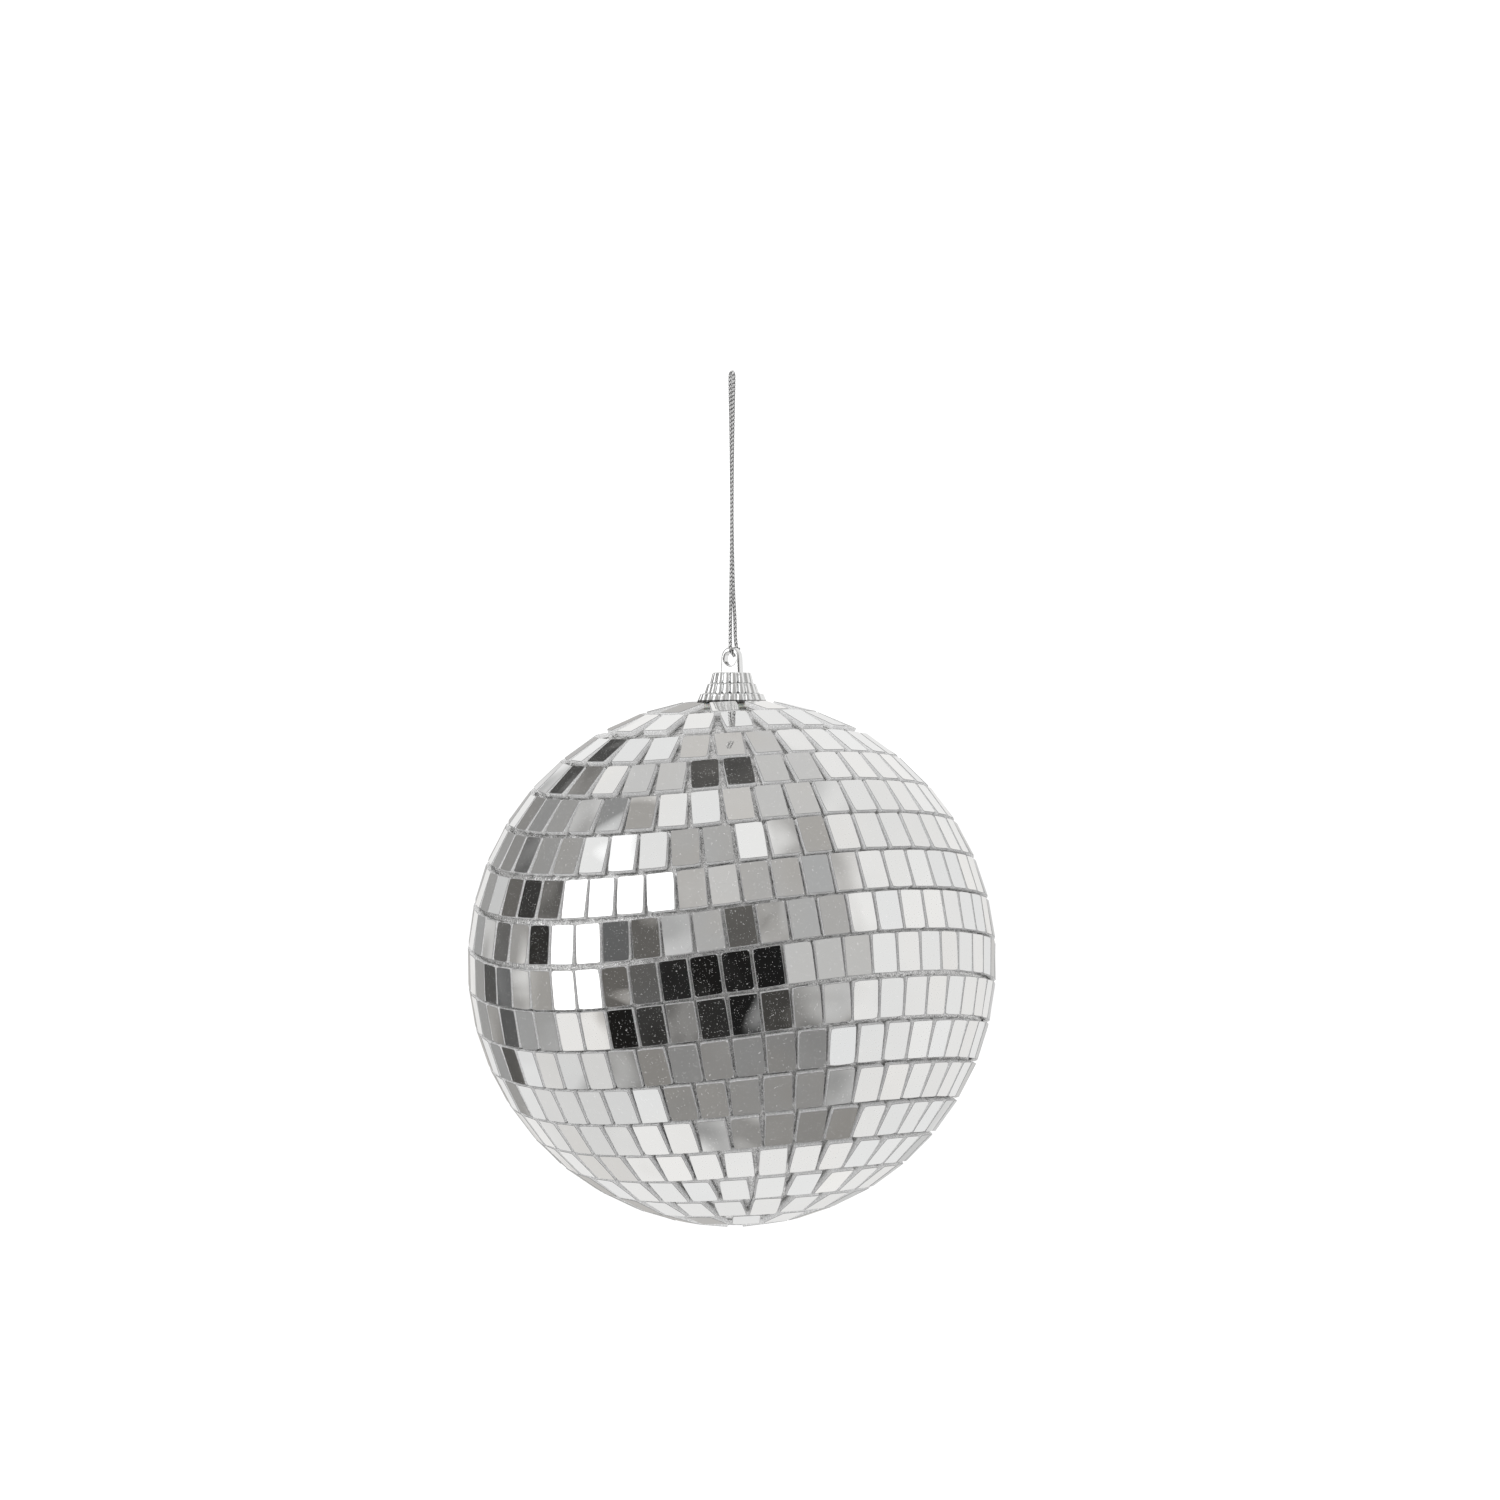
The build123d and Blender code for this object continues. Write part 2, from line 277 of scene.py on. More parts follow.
def braid(name, line, diameter):
    """A tubular braid of flat metallic ribbons over a dark core, along a line."""
    points, places = even_steps(line, BRAID_STEP)
    tangents, sides, ups = frames_along(points)
    vertices, faces = [], []
    core_r = diameter / 2 - RIBBON_T * CORE_INSET
    turns = [2 * math.pi * index / CORE_SIDES for index in range(CORE_SIDES)]
    core = [
        [point + core_r * (math.cos(turn) * side + math.sin(turn) * up) for turn in turns]
        for point, side, up in zip(points[::CORE_STRIDE], sides[::CORE_STRIDE], ups[::CORE_STRIDE])
    ]
    add_tube(vertices, faces, core)
    kinds = [CORE_SLOT] * len(faces)
    mean_r = diameter / 2 - RIBBON_T
    corners = (0, RIBBON_CORNER, math.pi - RIBBON_CORNER, math.pi, math.pi + RIBBON_CORNER, -RIBBON_CORNER)
    # one way the bright film, the other way ribbons painted dark as shade, standing for the film in shade
    for way, ribbon_w, kind in ((1, FILM_W, FILM_SLOT), (-1, SHADED_FILM_W, SHADED_FILM_SLOT)):
        for carrier in range(CARRIERS):
            phase = 2 * math.pi * carrier / CARRIERS
            angle = way * 2 * math.pi * places / BRAID_LEAD + phase
            over = way * np.cos(2 * math.pi * CARRIERS * places / BRAID_LEAD)
            radius = mean_r + over * RIBBON_T * RIBBON_LIFT
            out = np.cos(angle)[:, None] * sides + np.sin(angle)[:, None] * ups
            about = -np.sin(angle)[:, None] * sides + np.cos(angle)[:, None] * ups
            slant = 2 * math.pi * mean_r / BRAID_LEAD * way
            across = about - slant * tangents
            across /= np.linalg.norm(across, axis=1, keepdims=True)
            middle = points + radius[:, None] * out
            rings = []
            for centre, wide, high in zip(middle, across, out):
                rings.append([
                    centre + 0.5 * ribbon_w * math.cos(t) * wide + 0.5 * RIBBON_T * math.sin(t) * high
                    for t in corners
                ])
            add_tube(vertices, faces, rings)
            kinds += [kind] * (len(faces) - len(kinds))
    made = mesh_object(name, vertices, faces)
    for maker in (lurex_material, cord_core_material, shaded_film_material):
        made.data.materials.append(maker())
    made.data.polygons.foreach_set("material_index", kinds)
    return made, points


@cache
def lurex_material():
    """Silver metallised film: bright, slightly crumpled, with darker and lighter lengths."""
    s = Shader("lurex")
    place = s.place()
    patch = s.ramp(s.noise(place, 1.3, 2.0), 0.35, 0.65)
    colour = s.mix(patch, grey(0.88), grey(1.0))
    rough = s.ramp(s.noise(place, 6.0, 2.0), 0.3, 0.7, 0.22, 0.42)
    crumple = s.bump(s.noise(place, 9.0, 2.0), 0.02 * MM, 0.7)
    s.principled(Base_Color=colour, Metallic=0.85, Roughness=rough, Normal=crumple)
    return s.material


@cache
def cord_core_material():
    """Dull grey yarn inside the braid."""
    s = Shader("cord_core")
    fibres = s.noise(s.place(), 14.0, 3.0)
    s.principled(Base_Color=s.mix(fibres, grey(0.03), grey(0.09)), Roughness=0.8)
    return s.material


@cache
def shaded_film_material():
    """Dark ribbons braided against the bright film: painted shade, the same film drawn dark as it looks in
    shade.
    """
    s = Shader("cord_shaded_film")
    place = s.place()
    fibres = s.noise(place, 11.0, 3.0)
    # painted shade: the film drawn dark, as it looks in shade
    s.principled(
        Base_Color=s.mix(fibres, grey(0.05), grey(0.15)),
        Roughness=s.ramp(fibres, 0.3, 0.7, 0.45, 0.65),
        Normal=s.bump(fibres, 0.02 * MM, 0.8),
    )
    return s.material


def knot_line():
    """Centre line of a small tight trefoil knot, open at one lobe."""
    middle = hanging_point(*KNOT_AT)
    across = Vector((math.cos(EYE_TURN), -math.sin(EYE_TURN), 0))
    back = -EYE_FRONT
    line = []
    for share in np.linspace(KNOT_OPEN, 1 - KNOT_OPEN, KNOT_STEPS):
        t = 2 * math.pi * float(share)
        x = (math.sin(t) + 2 * math.sin(2 * t)) / 3
        y = (math.cos(t) - 2 * math.cos(2 * t)) / 3
        z = -math.sin(3 * t) * KNOT_DEPTH
        line.append(middle + KNOT_R * (across * x + Vector((0, 0, 1)) * y + back * z))
    return np.array([tuple(point) for point in line])


def tail_line(lean):
    """Centre line of a trimmed tail that points backwards and a little down from the knot."""
    way = Vector((-EYE_FRONT.x, -EYE_FRONT.y, TAIL_SLOPE)).normalized()
    way.rotate(Matrix.Rotation(math.radians(lean), 3, "Z"))
    start = hanging_point(*KNOT_AT)
    sag = Vector((0, 0, -TAIL_SAG))
    return np.array([tuple(start + way * TAIL * s + sag * s * s) for s in np.linspace(0.2, 1, 24)])


cord_line = smooth_line([hanging_point(*point) for point in CORD_ROUTE])
cord, cord_points = braid("cord_loop", cord_line, CORD_D)
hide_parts("cord_loop_upper", "cord_loop_lower")
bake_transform(cord)

knot, _ = braid("knot", knot_line(), CORD_D * KNOT_CORD)
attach(knot, "cord_bight")
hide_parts("cord_knot")
for index, lean in enumerate(TAIL_LEANS):
    tail, _ = braid(f"knot_tail_{index + 1}", tail_line(lean), CORD_D * TAIL_CORD)
    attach(tail, "cord_bight")
    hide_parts("cord_knot")


# ---------------------------------------------------------------- mirror tiles
TILE_SEGMENTS = 5             # pieces that each cut edge is divided into
ARRIS = 0.08 * MM             # the small seam along the cut edges of the face
CUT_ROUGHNESS = 0.012 * MM    # how far a cut edge wanders
CORNER_CHIP = 0.16 * MM       # the most that a corner is chipped
CORNER_BLUNT = 0.03 * MM
GLASS_T = 1.0 * MM
SILVER_MARGIN = 0.04          # mm of bare glass round the silver
SILVER_EATEN = 0.05           # the most that the silver has lifted inside that, in mm
DUST_COVER = 0.30             # how far a grain of dust hides the mirror under it
DUST_TINT = 0.22              # how far fine dust and scratches grey the silver
SCRATCH_TINT = 0.18
DUST_HAZE = 0.10              # and how much roughness they add to that of clean glass
SCRATCH_HAZE = 0.07
GLASS_ROUGH = 0.025
SILVER_CORNERS = (0.30, 0.78)  # radius of the silver's corners, least and most, in mm
WAVINESS = (0.08 * MM, 0.30 * MM)  # height of the waves in the flattest and the waviest glass
FACE_SLOT, WALL_SLOT, BACK_SLOT, SEAM_SLOT = range(4)


def tile_boxes(node):
    """Centre, width way, height way, outward way and size of every box in a CAD tile node."""
    shape = bmesh.new()
    shape.from_mesh(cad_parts[node].data)
    bmesh.ops.remove_doubles(shape, verts=shape.verts, dist=1e-6)
    shape.verts.ensure_lookup_table()
    seen, boxes = set(), []
    for first in shape.verts:
        if first.index in seen:
            continue
        island, front = [], [first]
        seen.add(first.index)
        while front:
            vertex = front.pop()
            island.append(vertex)
            for edge in vertex.link_edges:
                other = edge.other_vert(vertex)
                if other.index not in seen:
                    seen.add(other.index)
                    front.append(other)
        boxes.append(box_frame([vertex.co.copy() for vertex in island]))
    shape.free()
    return boxes


def box_frame(corners):
    """A box's frame from its eight corners: x along its row, y across it, z outwards."""
    middle = sum(corners, Vector()) / len(corners)
    corner = corners[0]
    others = sorted(corners[1:], key=lambda point: (point - corner).length)
    ways = [others[0] - corner]
    for point in others[1:]:
        way = point - corner
        if all(abs(way.normalized().dot(known.normalized())) < 0.02 for known in ways):
            ways.append(way)
    outward_from_centre = (middle - CENTRE).normalized()
    ways.sort(key=lambda way: -abs(way.normalized().dot(outward_from_centre)))
    out = ways[0].normalized()
    if out.dot(outward_from_centre) < 0:
        out = -out
    across, along = sorted(ways[1:], key=lambda way: way.length)
    x_way = across.normalized()
    y_way = out.cross(x_way)
    return middle, x_way, y_way, out, across.length, along.length


def tile_outline(width, height, dice):
    """Outline of a hand-cut tile: four edges that wander a little, some with a chipped corner."""
    half_w = width / 2
    half_h = height / 2
    corners = [(-half_w, -half_h), (half_w, -half_h), (half_w, half_h), (-half_w, half_h)]
    outline = []
    for index, corner in enumerate(corners):
        end = corners[(index + 1) % 4]
        chip = CORNER_CHIP * dice.random() ** 3
        for step in range(TILE_SEGMENTS):
            share = step / TILE_SEGMENTS
            x = corner[0] + (end[0] - corner[0]) * share
            y = corner[1] + (end[1] - corner[1]) * share
            if step == 0:
                x -= math.copysign(chip + CORNER_BLUNT, x)
                y -= math.copysign(chip + CORNER_BLUNT, y)
            else:
                x += dice.uniform(-1, 1) * CUT_ROUGHNESS
                y += dice.uniform(-1, 1) * CUT_ROUGHNESS
            outline.append((x, y))
    return outline


def glass_tiles(row_name, seed):
    """All the tiles of one row as one mesh: silvered faces, seamed arrises and cut glass edges."""
    dice = Random(seed)
    vertices, faces, kinds, local, tints, halves = [], [], [], [], [], []
    for middle, x_way, y_way, out, width, height in tile_boxes(row_name):
        outline = tile_outline(width, height, dice)
        count = len(outline)
        face_z = GLASS_T / 2
        inset = 1 - 2 * ARRIS / width, 1 - 2 * ARRIS / height
        rings = (
            (1, 1, -face_z),
            (1, 1, face_z - ARRIS),
            (inset[0], inset[1], face_z),
        )
        start = len(vertices)
        for scale_x, scale_y, z in rings:
            for x, y in outline:
                vertices.append(middle + x_way * x * scale_x + y_way * y * scale_y + out * z)
                local.append((x * scale_x / MM, y * scale_y / MM))
        for ring in range(2):
            for i in range(count):
                a = start + ring * count + i
                b = start + ring * count + (i + 1) % count
                faces.append((a, b, b + count, a + count))
                kinds.append(SEAM_SLOT if ring else WALL_SLOT)
        faces.append(tuple(start + 2 * count + i for i in range(count)))
        kinds.append(FACE_SLOT)
        faces.append(tuple(start + i for i in reversed(range(count))))
        kinds.append(BACK_SLOT)
        tints.extend([dice.random()] * (2 * count + 2))
        halves.extend([width / 2 / MM, height / 2 / MM, 0.0] * (2 * count + 2))
    made = mesh_object(row_name.replace("mirror_tiles", "tiles"), vertices, faces, smooth=False)
    mesh = made.data
    for maker in (mirror_material, glass_edge_material, tile_back_material, seam_material):
        mesh.materials.append(maker())
    mesh.polygons.foreach_set("material_index", kinds)
    uv = mesh.uv_layers.new(name="tile_mm")
    for loop in mesh.loops:
        uv.data[loop.index].uv = local[loop.vertex_index]
    tint = mesh.attributes.new("tile_tint", "FLOAT", "FACE")
    tint.data.foreach_set("value", tints)
    half_size = mesh.attributes.new("tile_half_size", "FLOAT_VECTOR", "FACE")
    half_size.data.foreach_set("vector", halves)
    return made


@cache
def mirror_material():
    """Silvered glass face: faint waviness, dust and hairline scratches.

    The silver stops just short of the cut edges, with rounded corners.
    """
    s = Shader("mirror_face")
    uv = s.node("UVMap", uv_map="tile_mm").outputs[0]
    split = s.node("SeparateXYZ", {0: uv}).outputs
    tint = s.node("Attribute", attribute_name="tile_tint").outputs["Fac"]
    corner_r = s.ramp(s.math("POWER", tint, 2.0), 0.0, 1.0, *SILVER_CORNERS)
    size = s.node("Attribute", attribute_name="tile_half_size").outputs["Vector"]
    half = s.node("SeparateXYZ", {0: size}).outputs
    reach_x = s.math("ADD", s.math("SUBTRACT", s.math("ABSOLUTE", split[0]), half[0]), corner_r)
    reach_y = s.math("ADD", s.math("SUBTRACT", s.math("ABSOLUTE", split[1]), half[1]), corner_r)
    corner = s.node("CombineXYZ", {0: s.math("MAXIMUM", reach_x, 0.0), 1: s.math("MAXIMUM", reach_y, 0.0)})
    away = s.node("VectorMath", {0: corner.outputs[0]}, operation="LENGTH").outputs["Value"]
    inner = s.math("MINIMUM", s.math("MAXIMUM", reach_x, reach_y), 0.0)
    beyond = s.math("SUBTRACT", s.math("ADD", away, inner), corner_r)
    place = s.place()
    eaten = s.math("MULTIPLY", s.noise(place, 2.5, 3.0), SILVER_EATEN)
    margin = s.ramp(s.math("ADD", beyond, eaten), -SILVER_MARGIN, 0.0)
    dust = s.ramp(s.noise(place, 4.5, 4.0, 0.7), 0.66, 0.74)
    drawn_out = {"Vector": place, "Rotation": (0.5, 0.9, 0.2), "Scale": (0.18, 3.2, 0.18)}
    stretch = s.node("Mapping", drawn_out).outputs[0]
    scratch = s.ramp(s.noise(stretch, 3.0, 2.0, 0.4), 0.70, 0.73)
    silver = s.mix(s.ramp(tint, 0.0, 1.0), (0.86, 0.87, 0.87, 1), (0.90, 0.895, 0.88, 1))
    specked = s.mix(s.math("MULTIPLY", dust, DUST_TINT), silver, grey(0.60))
    scored = s.mix(s.math("MULTIPLY", scratch, SCRATCH_TINT), specked, grey(0.75))
    colour = s.mix(margin, scored, grey(0.60))
    haze = s.math("ADD", s.math("MULTIPLY", dust, DUST_HAZE), s.math("MULTIPLY", scratch, SCRATCH_HAZE))
    rough = s.math("ADD", s.math("ADD", haze, GLASS_ROUGH), s.math("MULTIPLY", margin, 0.3))
    grains = s.ramp(s.noise(place, 3.6, 1.0), 0.67, 0.71, 0.0, DUST_COVER)
    specks = s.math("MULTIPLY", grains, s.math("SUBTRACT", 1.0, margin))
    waves = s.bump(s.noise(place, 0.13, 0.0), s.ramp(tint, 0.0, 1.0, *WAVINESS), 0.8)
    s.principled(
        Base_Color=colour,
        Metallic=s.math("SUBTRACT", s.math("SUBTRACT", 1.0, s.math("MULTIPLY", margin, 0.9)), specks),
        Roughness=rough,
        Normal=waves,
        Coat_Weight=1.0,
        Coat_Roughness=0.02,
        Coat_IOR=1.5,
    )
    return s.material


@cache
def glass_edge_material():
    """Cut edge of thin glass: neutral grey, with the ripple of a snapped score line."""
    s = Shader("glass_edge")
    place = s.place()
    ripple = s.noise(place, 3.5, 2.0)
    colour = s.mix(ripple, grey(0.74), grey(0.90))
    s.principled(
        Base_Color=colour,
        Metallic=0.2,
        Roughness=s.ramp(ripple, 0.3, 0.7, 0.12, 0.35),
        IOR=1.52,
        Specular_IOR_Level=0.8,
        Normal=s.bump(ripple, 0.05 * MM, 0.5),
    )
    return s.material


@cache
def seam_material():
    """Narrow ground seam between the face and the cut edge: dark, because it looks into the glass."""
    s = Shader("glass_seam")
    grind = s.noise(s.place(), 5.0, 2.0)
    s.principled(
        Base_Color=s.mix(grind, grey(0.13), grey(0.32)),
        Roughness=s.ramp(grind, 0.3, 0.7, 0.25, 0.45),
        Normal=s.bump(grind, 0.02 * MM, 0.6),
    )
    return s.material


@cache
def tile_back_material():
    """Grey protective paint behind the silver."""
    s = Shader("tile_back")
    s.principled(Base_Color=s.mix(s.noise(s.place(), 3.0), grey(0.25), grey(0.38)), Roughness=0.7)
    return s.material


tile_nodes = sorted(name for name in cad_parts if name.startswith("mirror_tiles"))
for seed, node in enumerate(tile_nodes):
    row = glass_tiles(node, seed)
    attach(row, "ball")
    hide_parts(node)


# ---------------------------------------------------------------- what lies under the tiles
def dress(node, material):
    """Give a CAD node that stays in view its own finish."""
    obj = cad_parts[node]
    if not obj.material_slots:
        obj.data.materials.append(material)
    for slot in obj.material_slots:
        slot.material = material
    return obj


CAP_SHADE_R = 8.4                # mm from the axis out to where shade under the cap is painted dark on the foil
CAP_SHADE_SOFT = 0.6             # mm either side of that over which the painted shade fades


def base_skin_material():
    """Thin silver foil over foam beads: crinkled and speckled, with shade painted dark in a ring round the
    cap.
    """
    s = Shader("base_skin")
    place = s.place()
    crinkle = s.noise(place, 1.2, 4.0, 0.6)
    beads = s.node("TexVoronoi", {"Vector": place, "Scale": 0.45}).outputs["Distance"]
    fleck = s.ramp(s.noise(place, 3.0, 2.0), 0.42, 0.58)
    x, y, z = s.node("SeparateXYZ", {0: place}).outputs
    from_axis = s.math("SQRT", s.math("ADD", s.math("MULTIPLY", x, x), s.math("MULTIPLY", y, y)))
    on_top = s.math("GREATER_THAN", z, CENTRE.z / MM)
    # painted shade: the foil is painted dark in a ring round the cap, for the shade under its rim
    cap_shade_mask = s.math("MULTIPLY", s.ramp(from_axis, CAP_SHADE_R + CAP_SHADE_SOFT, CAP_SHADE_R - CAP_SHADE_SOFT), on_top)
    bright = s.mix(fleck, grey(0.78), grey(0.98))
    painted_cap_shade = s.mix(fleck, grey(0.16), grey(0.34))
    pressed = s.bump(beads, 0.25 * MM, 0.5)
    s.principled(
        Base_Color=s.mix(cap_shade_mask, bright, painted_cap_shade),
        Metallic=0.9,
        Roughness=s.ramp(crinkle, 0.35, 0.65, 0.12, 0.30),
        Normal=s.bump(crinkle, 0.40 * MM, 1.0, pressed),
    )
    return s.material


def adhesive_material():
    """Pale cured contact adhesive with small bubbles, silvered where it carries flakes of foil."""
    s = Shader("adhesive")
    place = s.place()
    bubbles = s.node("TexVoronoi", {"Vector": place, "Scale": 3.2}).outputs["Distance"]
    cloud = s.noise(place, 1.6, 3.0)
    flake = s.ramp(s.noise(place, 5.0, 2.0), 0.52, 0.60)
    s.principled(
        Base_Color=s.mix(cloud, grey(0.74), (0.92, 0.92, 0.90, 1)),
        Metallic=s.math("MULTIPLY", flake, 0.8),
        Roughness=s.ramp(cloud, 0.3, 0.7, 0.30, 0.55),
        Normal=s.bump(bubbles, 0.10 * MM, 0.6),
    )
    return s.material


def foam_material():
    """Expanded polystyrene: packed white beads with darker seams."""
    s = Shader("foam")
    place = s.place()
    cells = s.node("TexVoronoi", {"Vector": place, "Scale": 0.38})
    seam = s.ramp(cells.outputs["Distance"], 0.35, 0.75)
    s.principled(
        Base_Color=s.mix(seam, grey(0.90), grey(0.74)),
        Roughness=s.ramp(s.noise(place, 5.0), 0.3, 0.7, 0.55, 0.75),
        Normal=s.bump(seam, -0.30 * MM, 0.8),
    )
    return s.material


def glue_material():
    """Hot-melt glue: milky, slightly yellow, with a soft skin."""
    s = Shader("glue")
    place = s.place()
    cloud = s.noise(place, 0.9, 2.0)
    s.principled(
        Base_Color=s.mix(cloud, (0.70, 0.68, 0.62, 1), (0.86, 0.85, 0.80, 1)),
        Roughness=s.ramp(cloud, 0.3, 0.7, 0.22, 0.38),
        Normal=s.bump(cloud, 0.15 * MM, 0.5),
        Subsurface_Weight=0.15,
        Subsurface_Scale=1.0 * MM,
    )
    return s.material


adhesive = adhesive_material()
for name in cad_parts:
    if name.startswith("adhesive"):
        dress(name, adhesive)
dress("silver_base_skin", base_skin_material())
dress("foam_core", foam_material())
dress("cap_glue", glue_material())


# ---------------------------------------------------------------- crown cap
TIER_HEIGHTS = (1.85, 1.95, 2.10)      # mm, from the rim up
TIER_FOOT_R = (6.75, 5.20, 4.15)
TIER_TOP_R = (6.05, 4.60, 3.65)
TIER_FLUTES = (22, 19, 15)
FLUTE_DEPTH = 0.60
FLUTE_LIFT = 0.34                      # the valleys' lower ends lie this much higher than the crests'
SHOULDER_R = 0.34                      # rounding where a tier's wall turns into its top
FOOT_ROUND = 0.14                      # height of the slope under a tier's lower edge
FOOT_UNDERCUT = 0.24                   # how far that slope runs in
CAP_WALL = 0.75
TAB_FOOT_W = 4.7
TAB_T = 1.5
SLOT_PLAY = 0.05
CROWN_COLUMNS = 1254                   # a multiple of the first two tiers' flutes
SHARP_ANGLE = math.radians(38)
FOOT_SHADE_H = 0.70                       # height of the ring of painted shade along the crown's foot
FOOT_SHADE_SOFT = 0.12
WALL_STEPS = 9
SHOULDER_STEPS = 7


def crown_ring(height, radius, flutes=0, depth=0.0, lift=0.0):
    """One ring of the crown: mm above the rim, crest radius, and how deep its flutes are."""
    turns = np.arange(CROWN_COLUMNS) / CROWN_COLUMNS
    across = (turns * flutes) % 1 * 2 - 1 if flutes else np.zeros(CROWN_COLUMNS)
    valley = np.abs(across) ** 3
    r = radius - depth * valley
    z = height + lift * valley
    angle = 2 * math.pi * turns
    return np.stack([r * np.cos(angle), r * np.sin(angle), z], axis=1)


def slot_ring(height, play):
    """The tab's slot as a ring: a rectangle turned with the eye."""
    angle = 2 * math.pi * np.arange(CROWN_COLUMNS) / CROWN_COLUMNS
    from_tab = angle + EYE_TURN
    half_w = TAB_FOOT_W / 2 + play
    half_t = TAB_T / 2 + play
    reach_w = half_w / np.maximum(np.abs(np.cos(from_tab)), 1e-6)
    reach_t = half_t / np.maximum(np.abs(np.sin(from_tab)), 1e-6)
    r = np.minimum(reach_w, reach_t)
    return np.stack([r * np.cos(angle), r * np.sin(angle), np.full(CROWN_COLUMNS, height)], axis=1)


def crown_rings():
    """All the crown's rings: up the fluted outside, down through the slot and out along the hollow."""
    rings = []
    foot = 0.0
    for height, foot_r, top_r, flutes in zip(TIER_HEIGHTS, TIER_FOOT_R, TIER_TOP_R, TIER_FLUTES):
        rings.append(crown_ring(foot, foot_r - FOOT_UNDERCUT, flutes, FLUTE_DEPTH, FLUTE_LIFT))
        rings.append(crown_ring(foot + FOOT_ROUND, foot_r, flutes, FLUTE_DEPTH, FLUTE_LIFT))
        straight = height - SHOULDER_R
        for step in range(1, WALL_STEPS + 1):
            share = step / WALL_STEPS
            radius = foot_r + (top_r - foot_r) * share * straight / height
            lift = FLUTE_LIFT * (1 - share)
            level = foot + FOOT_ROUND + (straight - FOOT_ROUND) * share
            rings.append(crown_ring(level, radius, flutes, FLUTE_DEPTH, lift))
        wall_top_r = foot_r + (top_r - foot_r) * straight / height
        for step in range(1, SHOULDER_STEPS + 1):
            turn = math.pi / 2 * step / SHOULDER_STEPS
            radius = wall_top_r - SHOULDER_R * (1 - math.cos(turn))
            depth = FLUTE_DEPTH * math.cos(turn * 0.75)
            rings.append(crown_ring(foot + straight + SHOULDER_R * math.sin(turn), radius, flutes, depth))
        foot += height
    top = foot
    rings.append(crown_ring(top, (TIER_TOP_R[-1] + TAB_FOOT_W / 2) / 2 + 0.1))
    rings.append(slot_ring(top, SLOT_PLAY))
    rings.append(slot_ring(top - CAP_WALL, SLOT_PLAY))
    hollow = [radius - CAP_WALL for radius in TIER_TOP_R]
    ceiling = top - CAP_WALL
    rings.append(crown_ring(ceiling, hollow[2]))
    rings.append(crown_ring(TIER_HEIGHTS[0] + TIER_HEIGHTS[1] - CAP_WALL, hollow[2]))
    rings.append(crown_ring(TIER_HEIGHTS[0] + TIER_HEIGHTS[1] - CAP_WALL, hollow[1]))
    rings.append(crown_ring(TIER_HEIGHTS[0] - CAP_WALL, hollow[1]))
    rings.append(crown_ring(TIER_HEIGHTS[0] - CAP_WALL, hollow[0]))
    rings.append(crown_ring(0, hollow[0]))
    return rings


def make_crown():
    """The fluted crown cap, standing on the ball's top."""
    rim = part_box("crown_cap")[0].z
    rings = [ring * MM + np.array((0, 0, rim)) for ring in crown_rings()]
    vertices, faces = [], []
    add_tube(vertices, faces, rings + [rings[0]], closed_ends=False)
    made = mesh_object("crown", vertices, faces)
    shape = bmesh.new()
    shape.from_mesh(made.data)
    bmesh.ops.remove_doubles(shape, verts=shape.verts, dist=1e-7)
    bmesh.ops.recalc_face_normals(shape, faces=shape.faces)
    for edge in shape.edges:
        edge.smooth = edge.calc_face_angle(0) < SHARP_ANGLE
    shape.to_mesh(made.data)
    shape.free()
    return made


def plated_plastic_material(name, foot=None):
    """Vacuum-plated plastic: bright, with orange peel, thin patches and handling haze.

    Where a foot is given, in mm, shade is painted dark in a narrow ring along it, where the crown meets
    the ball.
    """
    s = Shader(name)
    place = s.place()
    haze = s.noise(place, 0.8, 3.0)
    thin = s.ramp(s.noise(place, 2.6, 4.0, 0.6), 0.62, 0.74)
    plated = s.mix(thin, (0.90, 0.905, 0.905, 1), grey(0.66))
    # painted shade: a dark ring along the crown's foot, where it meets the ball
    if foot is not None:
        height = s.node("SeparateXYZ", {0: place}).outputs[2]
        painted_foot_shade = s.ramp(height, foot + FOOT_SHADE_H, foot + FOOT_SHADE_H - FOOT_SHADE_SOFT)
        plated = s.mix(painted_foot_shade, plated, grey(0.13))
    s.principled(
        Base_Color=plated,
        Metallic=s.ramp(thin, 0.0, 1.0, 1.0, 0.85),
        Roughness=s.ramp(haze, 0.3, 0.7, 0.09, 0.20),
        Normal=s.bump(s.noise(place, 3.5, 2.0), 0.018 * MM, 0.6),
    )
    return s.material


crown = make_crown()
crown.data.materials.append(plated_plastic_material("plated_crown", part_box("crown_cap")[0].z / MM))
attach(crown, "ball")
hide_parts("crown_cap")

dress("eye_peg", plated_plastic_material("plated_eye"))


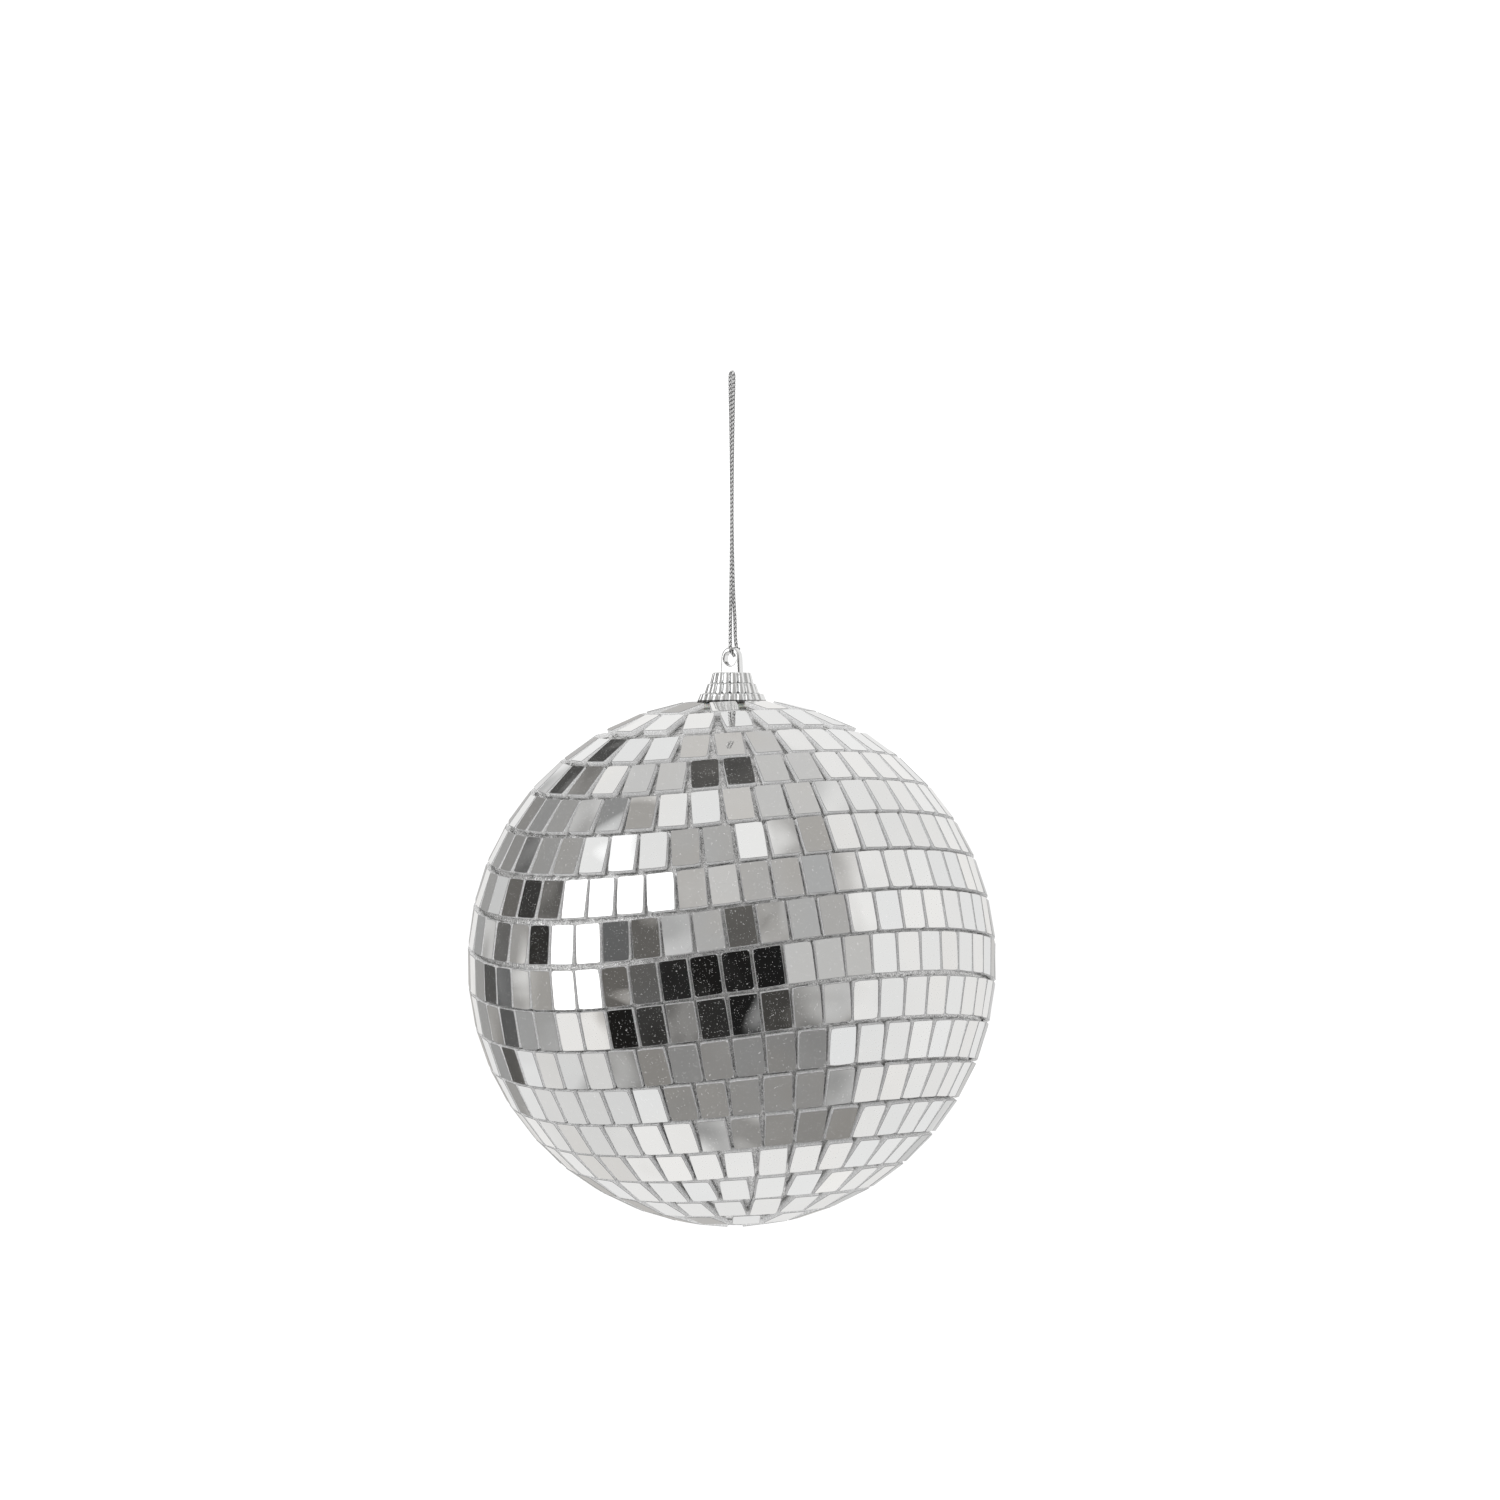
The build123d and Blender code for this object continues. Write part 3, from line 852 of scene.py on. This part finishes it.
# ---------------------------------------------------------------- studio
FLOOR_DROP = 0.35
FLOOR_HALF = 30.0
SKY = 1.12
KEY_POWER = 5.0
KEY_SIZE = 0.6
KEY_FROM_CENTRE = Vector((-0.7, -0.7, 0.9))
TENT_R = 1.5
TENT_BASE = 0.86              # brightness of the tent's own walls
TENT_MOTTLE = 0.06            # how far that brightness strays
TENT_DARKEST = 0.012
TENT_WANDER = 12              # degrees that the cloths' edges stray, between the extremes of the noise
TENT_WANDER_SCALES = (2.2, 3.1)  # of that noise, sideways and upwards
TENT_TEXTURE = 0.12           # how far the weave of the darkest cloths strays in brightness
TENT_SEGMENTS = 96
TENT_RINGS = 64
TENT = (              # azimuths and elevations from and to, brightness, soft edge; angles in degrees
    (-60, 50, -50, -12, 0.26, 5),
    (-40, 90, -75, -45, 0.29, 5),
    (-35, 60, 12, 60, 0.44, 5),
    (-190, 190, 58, 100, 0.60, 3),
    (-190, 190, 84, 100, 0.09, 2),
    (-140, -60, 78, 86, 0.09, 2),
    (-80, -20, 60, 76, 0.85, 4),
    (25, 60, -12, 12, 0.57, 5),
    (-60, -35, -12, 20, 0.12, 3),
    (-56, -44, 0, 20, 0.14, 3),
    (-30, 20, -8, 10, 0.018, 2),
    (-52, -24, -32, -15, 0.018, 2),
    (-12, 5, -30, -13, 0.018, 2),
    (18, 32, -25, -8, 0.06, 3),
    (-5, 16, 14, 21, 0.10, 4),
    (8, 35, 52, 65, 0.90, 3),
    (-20, 2, 28, 40, 0.60, 4),
    (-75, -28, 22, 42, 1.5, 3),
    (-86, -60, -14, 32, 1.8, 3),
    (-80, -62, 38, 50, 1.4, 2),
    (-150, -88, -25, 45, 0.36, 5),
    (-103, -97, -30, 38, 0.72, 2),
    (-135, -128, -20, 30, 0.62, 3),
    (-98, -89, -6, 9, 0.03, 2),
    (-128, -108, 2, 22, 0.14, 4),
    (-132, -112, -24, -6, 0.10, 4),
    (-150, -125, 12, 34, 0.28, 4),
    (-152, -138, 28, 38, 0.10, 2),
    (-138, -126, 40, 48, 0.10, 2),
    (-98, -86, 47, 56, 0.30, 3),
    (-92, -84, 17, 26, 0.10, 2),
    (-104, -98, -8, 0, 0.12, 2),
    (-111, -100, 12, 24, 0.05, 2),
    (-150, -60, -60, -30, 0.72, 6),
    (-96, -86, -42, -34, 0.25, 3),
    (-76, -66, 50, 62, 0.40, 3),
    (158, 184, -25, 5, 0.60, 3),
    (-184, -164, -30, 24, 0.50, 4),
    (-77, -67, -4, 6, 0.98, 2),
)


def tent_material():
    """Light of the studio round the ball, by direction: white walls, dark cloths and softboxes."""
    s = Shader("tent")
    coords = s.node("TexCoord").outputs["Object"]
    x, y, z = s.node("SeparateXYZ", {0: coords}).outputs
    to_degrees = 180 / math.pi
    azimuth = s.math("MULTIPLY", s.math("ARCTAN2", x, s.math("MULTIPLY", y, -1.0)), to_degrees)
    elevation = s.math("MULTIPLY", s.math("ARCSINE", s.math("DIVIDE", z, TENT_R)), to_degrees)
    strays = [s.math("SUBTRACT", s.noise(coords, scale, 1.0), 0.5) for scale in TENT_WANDER_SCALES]
    azimuth = s.math("ADD", azimuth, s.math("MULTIPLY", strays[0], TENT_WANDER))
    elevation = s.math("ADD", elevation, s.math("MULTIPLY", strays[1], TENT_WANDER))
    mottle = s.noise(coords, 1.3, 2.0)
    light = s.ramp(mottle, 0.3, 0.7, TENT_BASE - TENT_MOTTLE, TENT_BASE + TENT_MOTTLE)
    for low_az, high_az, low_el, high_el, level, soft in TENT:
        beyond_az = s.math("ABSOLUTE", s.math("SUBTRACT", azimuth, (low_az + high_az) / 2))
        beyond_el = s.math("ABSOLUTE", s.math("SUBTRACT", elevation, (low_el + high_el) / 2))
        out_az = s.math("SUBTRACT", beyond_az, (high_az - low_az) / 2)
        out_el = s.math("SUBTRACT", beyond_el, (high_el - low_el) / 2)
        inside = s.ramp(s.math("MAXIMUM", out_az, out_el), soft / 2, -soft / 2)
        light = s.math("ADD", light, s.math("MULTIPLY", inside, s.math("SUBTRACT", level, light)))
    shaded = s.math("SUBTRACT", 1.1, light, clamp=True)
    texture = s.math("SUBTRACT", s.noise(coords, 4.0, 1.0), 0.5)
    light = s.math("ADD", light, s.math("MULTIPLY", texture, s.math("MULTIPLY", shaded, TENT_TEXTURE)))
    light = s.math("MAXIMUM", light, TENT_DARKEST)
    warm = s.math("MULTIPLY", s.ramp(s.noise(coords, 2.5, 1.0), 0.40, 0.62), shaded)
    glow = s.node("Emission", {"Color": s.mix(warm, grey(1.0), (1.0, 0.955, 0.90, 1)), "Strength": light})
    s.tree.links.new(glow.outputs[0], s.output.inputs[0])
    s.material.cycles.emission_sampling = "NONE"
    return s.material


def make_tent():
    """A sphere round the studio that only reflections see."""
    shape = bmesh.new()
    bmesh.ops.create_uvsphere(shape, u_segments=TENT_SEGMENTS, v_segments=TENT_RINGS, radius=TENT_R)
    mesh = bpy.data.meshes.new("tent")
    shape.to_mesh(mesh)
    shape.free()
    tent = link(bpy.data.objects.new("tent", mesh))
    tent.location = CENTRE
    tent.data.materials.append(tent_material())
    tent.visible_camera = False
    tent.visible_diffuse = False
    tent.visible_shadow = False
    tent.visible_transmission = False


def make_floor():
    """Plain pale floor, well below the ball."""
    low = CENTRE.z - FLOOR_DROP
    corners = [(x * FLOOR_HALF, y * FLOOR_HALF, low) for x, y in ((-1, -1), (1, -1), (1, 1), (-1, 1))]
    floor = mesh_object("floor", corners, [(0, 1, 2, 3)], smooth=False)
    s = Shader("floor")
    mottle = s.noise(s.node("TexCoord").outputs["Object"], 3.0, 2.0)
    s.principled(Base_Color=s.mix(mottle, grey(0.93), grey(0.96)), Roughness=0.85, Specular_IOR_Level=0.1)
    floor.data.materials.append(s.material)
    floor.visible_glossy = False


make_tent()
make_floor()
world = bpy.data.worlds.new("world")
world.use_nodes = True
world.node_tree.nodes["Background"].inputs["Color"].default_value = grey(1.0)
world.node_tree.nodes["Background"].inputs["Strength"].default_value = SKY
bpy.context.scene.world = world

key_data = bpy.data.lights.new("key", "AREA")
key_data.energy = KEY_POWER
key_data.size = KEY_SIZE
key = link(bpy.data.objects.new("key", key_data))
key.location = CENTRE + KEY_FROM_CENTRE
key.rotation_euler = (CENTRE - key.location).to_track_quat("-Z", "Y").to_euler()
key.visible_glossy = False
